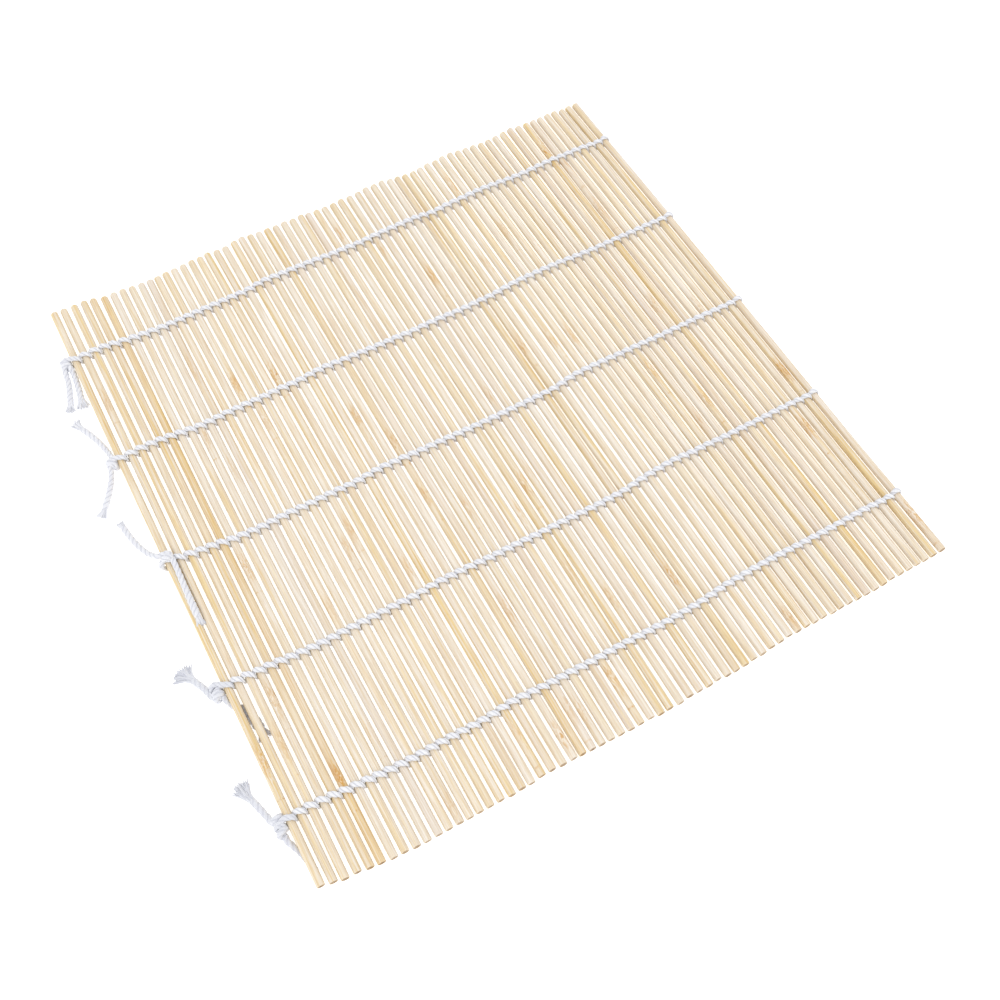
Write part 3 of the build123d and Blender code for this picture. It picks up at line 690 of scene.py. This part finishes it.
def fray(tubes, P, tufts, seed):
    """Loose fibres past the end of the points P. tufts: (turn in degrees, length, half spread in degrees, how many, height at the tip)."""
    rng = np.random.RandomState(seed)
    d = P[-1] - P[-6]
    d /= np.linalg.norm(d)
    flat = np.array([d[0], d[1], 0.0]); flat /= np.linalg.norm(flat)
    side = np.array([-flat[1], flat[0], 0.0])
    for turn, length, spread, count, tip in tufts:
        for k in range(count):
            thick = k < count * 0.6
            v = rng.uniform(-1, 1)
            a = math.radians(turn + spread * v + rng.uniform(-5, 5))
            way = flat * math.cos(a) + side * math.sin(a)
            off = rng.uniform(-0.5, 0.5)
            lift = rng.uniform(-0.45, 0.45)
            A = P[-1] - d * rng.uniform(0.9, 1.8) + side * (0.65 * v + off * 0.4) + np.array([0, 0, lift])
            B = P[-1] + d * length * 0.28 + side * (0.9 * v + off * 0.4) + np.array([0, 0, lift * 0.8])
            L = length * (rng.uniform(0.72, 1.0) if thick else rng.uniform(0.65, 1.12))
            C = P[-1] + way * L + side * (0.5 * v + rng.uniform(-0.3, 0.3))
            C[2] = max(0.1, P[-1][2] * 0.6 + tip * rng.uniform(0.1, 1.0) + lift * 0.5)
            t = np.linspace(0, 1, 11)[:, None]
            Q = (1 - t) ** 2 * A + 2 * t * (1 - t) * B + t**2 * C
            w = rng.uniform(0, 6.28)
            Q = Q + side * (0.10 * np.sin(t * 7 + w) * t) + np.array([0, 0, 1]) * (0.07 * np.sin(t * 5 + w) * t)
            Q[:, 2] = np.maximum(Q[:, 2], 0.08)
            r0 = rng.uniform(0.26, 0.40) if thick else rng.uniform(0.09, 0.15)
            r1 = r0 * (0.75 if thick else 0.5)
            rad = (r0 * (1 - t[:, 0]) + r1 * t[:, 0])
            rad[-1] *= 0.5
            nv = 7 if thick else 5
            T, U, B2 = transport(Q)
            ang = np.arange(nv) * 2 * np.pi / nv
            ring = np.cos(ang)[None, :, None] * U[:, None, :] + np.sin(ang)[None, :, None] * B2[:, None, :]
            V = Q[:, None, :] + ring * rad[:, None, None]
            shade_and_tone = np.full((len(Q), nv), rng.uniform(0.1, 1.0))
            th = np.stack([np.broadcast_to(np.cos(ang) * 0.3, (len(Q), nv)), np.broadcast_to(np.sin(ang) * 0.3, (len(Q), nv)), np.broadcast_to((t * length), (len(Q), nv))], -1) + rng.uniform(0, 50, 3)
            tubes.add(V, shade_and_tone, th)


def free_end(name, r, s, route, node, tufts, lies_flat=None, seed=0):
    """One free end: from the gap beside the first stick, round that stick, through the knot and out to its frayed tip."""
    c = ROWS[r][0]
    x0 = float(lean(0, c))
    P, length = spline_points(name, route)
    q = np.hypot(P[:, 0] - x0, P[:, 2] - AXIS_Z)
    near = np.clip((2.75 - q) / 0.7, 0, 1) * (np.abs(P[:, 1] - c) < 4)
    stop = np.argmax(near < 0.01) if (near < 0.01).any() else len(near)
    near[stop:] = 0
    near = near * near * (3 - 2 * near)
    up = P[:, 2] > AXIS_Z
    f = np.clip(np.abs(P[:, 2] - AXIS_Z) / 1.7, 0, 1) ** 2
    on = np.where(up, OVER_H, UNDER_H) * f + 0.45 * (1 - f)
    s_along = np.linspace(0, length, len(P))
    open_up = np.clip((s_along - 0.45 * length) / (0.5 * length), 0, 1)
    high = near * on + (1 - near) * (LOOSE + 0.08 * open_up)
    wide = near * WIDE + (1 - near) * (LOOSE + 0.24 * open_up)
    normal = np.where(near[:, None] > 0, np.stack([P[:, 0] - x0, 0 * q, P[:, 2] - AXIS_Z], -1), [[0.0, 0.0, 1.0]])
    if lies_flat is not None:
        e = np.clip((lies_flat[0] - P[:, 1]) / (lies_flat[0] - lies_flat[1]), 0, 1)
        e[: len(e) // 2] = 0
        e = e * e * (3 - 2 * e)
        high = high * (1 - e) + 0.44 * e
        wide = wide * (1 - e) + lies_flat[2] * e
    soft = np.clip((np.arange(len(P)) - len(P) + 9) / 8.0, 0, 1) * 0.8
    high[-9:] *= np.linspace(1, 0.8, 9)
    wide[-9:] *= np.linspace(1, 0.9, 9)
    lay = 5.4 + 1.2 * np.clip((s_along - 6) / 8, 0, 1)
    V, shade_and_tone, thread = rope(P, wide, high, normal, start=1.3 * r + 2.1 * s, nv=24, lay=lay, seed=200 + seed, soften=soft)
    V[..., 2] = np.maximum(V[..., 2], 0.03)          # it lies on the table
    # painted shade: where the end lies flat under the sticks its cord is painted darker
    if lies_flat is not None:
        shade_and_tone = shade_and_tone * (1 - 0.25 * e)[:, None]
    t = Tubes()
    t.add(V, shade_and_tone, thread)
    # rows 4 and 5 take the greyer copy of the cotton: painted shade
    ob = t.build(name, slack_cotton_by_shade[r > 2])
    f2 = Tubes()
    fray(f2, P, tufts, 300 + seed)
    brush = f2.build(name + "_fray", slack_cotton_by_shade[r > 2])
    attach(ob, "knotted_edge")
    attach(brush, "knotted_edge")
    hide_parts(node)
    return length


def core(r, x, y0, y1, z, width):
    """The middle of a knot, packed inside its turns."""
    y = np.linspace(y0, y1, 24)
    P = np.stack([x + 0.12 * np.sin(y * 1.7), y, z + 0 * y], -1)
    u = np.linspace(-1, 1, 24)
    w = width * np.sqrt(np.maximum(1 - u**4, 0.02))
    V, shade_and_tone, thread = rope(P, w, w, np.tile([[0.0, 0.0, 1.0]], (24, 1)), nv=24, lay=3.6, seed=400 + r)
    t = Tubes()
    t.add(V, shade_and_tone, thread)
    ob = t.build(f"knot_{r + 1}", slack_cotton_by_shade[r > 2])
    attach(ob, "knotted_edge")
    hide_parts(f"knot_row_{r + 1}")


lengths = {}
for r in range(5):
    c = ROWS[r][0]
    x0 = float(lean(0, c))
    xg, ya = gap_start(r, 0)
    _, yb = gap_start(r, 1)
    over = [(xg, ya, 2.1), (xg - 0.05, ya + 0.1, 4.0), (x0 - 1.25, c + 0.75, 4.15)]
    under = [(xg, yb, 2.3), (xg - 0.15, yb - 0.15, 0.46), (x0 - 1.45, c - 0.75, 0.44)]
    if r == 0:
        kx, kz = -116.8, 2.15
        a = over + turns(kx, kz, 1.32, 70, 530, c + 1.7, c - 0.9) + [(-118.3, 92.6, 1.15), (-118.8, 88.2, S), (-120.2, 82.6, S), (-121.2, 79.6, S)]
        b = under + turns(kx, kz, 1.25, -60, 400, c + 1.2, c - 1.7) + [(-115.7, c - 3.0, 1.6), (-115.7, 90.6, S), (-116.0, 87.3, S), (-116.6, 82.2, S), (-117.0, 79.6, S)]
        lengths["1_outer"] = free_end("end_row_1_outer", r, 0, a, "tail_row_1_outer", [(0, 3.9, 24, 40, 0.7)], seed=1)
        lengths["1_inner"] = free_end("end_row_1_inner", r, 1, b, "tail_row_1_inner", [(0, 4.2, 31, 48, 0.7)], seed=2)
        core(r, kx, c - 1.4, c + 1.6, kz, 1.0)
    elif r == 1:
        kx, kz = -116.7, 2.15
        a = over + turns(kx, kz, 1.32, 70, 500, c + 0.9, c - 0.4) + [(-117.9, 45.4, 1.2), (-119.2, 42.0, S), (-121.0, 38.6, S), (-123.0, 35.2, S), (-125.2, 32.3, S)]
        b = under + turns(kx, kz, 1.2, -60, 390, c - 1.5, c + 1.6) + [(-115.9, 50.6, 2.3), (-116.3, 54.2, 1.0), (-117.6, 59.4, S), (-119.4, 64.2, S), (-121.2, 68.0, S)]
        lengths["2_lower"] = free_end("end_row_2_lower", r, 0, a, "tail_row_2_lower", [(0, 3.6, 24, 40, 0.6)], seed=3)
        lengths["2_upper"] = free_end("end_row_2_upper", r, 1, b, "tail_row_2_upper", [(-4, 4.2, 24, 38, 0.7)], seed=4)
        core(r, kx, c - 1.6, c + 1.5, kz, 1.0)
    elif r == 2:
        kx, kz = -113.0, 5.0
        a = [(xg, ya, 2.1), (xg - 0.1, ya + 0.1, 3.9)] + turns(kx, kz, 1.25, 10, 370, c - 0.6, c + 1.2) + [(-112.0, c + 0.8, 6.0), (-111.6, c - 1.4, 4.7), (-111.7, -4.0, 4.2), (-111.9, -9.3, 4.0), (-112.0, -14.6, 4.0), (-112.0, -19.4, 4.0), (-112.1, -22.4, 4.0)]
        b = under + [(x0 - 2.05, c - 0.9, 1.2), (x0 - 2.9, c - 0.6, 3.3), (-114.6, c + 0.6, 4.4), (-112.8, c + 1.0, 4.9), (-112.2, c + 2.2, 4.7), (-113.6, c + 2.6, 4.3), (-115.7, 5.0, 3.4), (-117.4, 7.4, 1.9), (-119.3, 11.2, S), (-120.8, 16.0, S), (-121.6, 20.4, S), (-122.0, 23.0, S)]
        lengths["3_lower"] = free_end("end_row_3_lower", r, 0, a, "tail_row_3_lower", [(0, 3.0, 26, 38, 0.9)], seed=5)
        lengths["3_upper"] = free_end("end_row_3_upper", r, 1, b, "tail_row_3_upper", [(0, 2.4, 22, 34, 0.6)], seed=6)
        core(r, kx, c - 1.4, c + 1.7, kz - 0.1, 0.95)
    elif r == 3:
        kx, kz = -116.5, 2.15
        a = over + [(-115.2, c + 1.7, 3.6)] + turns(kx, kz, 1.3, 100, 280, c + 2.4, c + 1.2) + turns(kx, kz, 1.3, 340, 620, c - 0.8, c - 2.6) + [(-118.6, c - 0.6, 1.8), (-119.4, -45.4, 1.0), (-120.6, -42.6, S), (-121.8, -40.2, S)]
        b = under + turns(kx, kz, 1.2, -60, 350, c + 1.2, c - 2.0) + [(-115.3, -51.8, 0.9), (-113.7, -54.2, F), (-111.6, -57.2, F), (-110.0, -60.8, F), (-109.3, -65.2, F)]
        lengths["4_upper"] = free_end("end_row_4_upper", r, 0, a, "tail_row_4_upper", [(34, 6.4, 10, 28, 0.9), (12, 6.4, 9, 22, 1.3), (-27, 6.2, 12, 28, 0.8)], seed=7)
        lengths["4_lower"] = free_end("end_row_4_lower", r, 1, b, "tail_row_4_lower", [(-24, 4.6, 9, 22, 0.1), (16, 4.4, 10, 22, 0.1)], lies_flat=(-51.5, -58.5, 1.9), seed=8)
        core(r, kx, c - 2.9, c + 2.2, kz, 0.95)
    else:
        kx, kz = -116.2, 2.15
        a = over + [(-115.0, c + 0.4, 3.7)] + turns(kx, kz, 1.35, 100, 650, c - 0.2, c - 3.5) + [(-116.4, -100.6, 1.2), (-115.1, -103.4, 0.6), (-113.9, -106.4, F), (-113.0, -110.6, F)]
        b = under + turns(kx, kz, 1.25, -60, 150, c - 1.5, c - 0.2) + [(-116.0, c + 1.3, 2.6)] + turns(kx + 0.1, kz, 1.35, -60, 225, c + 2.5, c + 1.5) + [(-117.8, c + 1.7, 1.2), (-118.6, -91.0, 0.9), (-119.6, -87.6, S), (-120.5, -84.6, S)]
        lengths["5_lower"] = free_end("end_row_5_lower", r, 0, a, "tail_row_5_lower", [(0, 2.6, 18, 18, 0.1)], lies_flat=(-101.0, -105.0, 0.95), seed=9)
        lengths["5_upper"] = free_end("end_row_5_upper", r, 1, b, "tail_row_5_upper", [(17, 6.6, 8, 28, 1.0), (-1, 7.2, 9, 30, 1.2), (-19, 6.6, 8, 28, 0.8)], seed=10)
        core(r, kx, c - 3.4, c + 2.2, kz, 0.95)

# ---------------------------------------------------------------- table and light
me = bpy.data.meshes.new("table")
me.from_pydata([(-4, -4, 0), (4, -4, 0), (4, 4, 0), (-4, 4, 0)], [], [(0, 1, 2, 3)])
floor = bpy.data.objects.new("table", me)
bpy.context.collection.objects.link(floor)
m = Nodes("table")
m.bsdf.inputs["Base Color"].default_value = (0.80, 0.80, 0.80, 1)
m.bsdf.inputs["Roughness"].default_value = 0.9
m.bsdf.inputs["Specular IOR Level"].default_value = 0.0
m.bsdf.inputs["Emission Color"].default_value = (1, 1, 1, 1)
m.bsdf.inputs["Emission Strength"].default_value = 0.67
me.materials.append(m.mat)

world = bpy.data.worlds.new("studio")
world.use_nodes = True
world.node_tree.nodes["Background"].inputs[0].default_value = (1.0, 1.0, 1.0, 1)
world.node_tree.nodes["Background"].inputs[1].default_value = 1.0
bpy.context.scene.world = world


def softbox(name, place, size, power):
    light = bpy.data.lights.new(name, "AREA")
    light.shape = "DISK"
    light.size = size
    light.energy = power
    ob = bpy.data.objects.new(name, light)
    ob.location = place
    ob.rotation_euler = (Vector((0, 0, 0)) - Vector(place)).to_track_quat("-Z", "Y").to_euler()
    bpy.context.collection.objects.link(ob)


softbox("key", (0.75, 0.25, 1.0), 0.9, 1.7)
softbox("fill", (-0.7, -0.6, 1.1), 1.2, 3.9)

print("free ends, mm:", {k: round(v, 1) for k, v in lengths.items()})
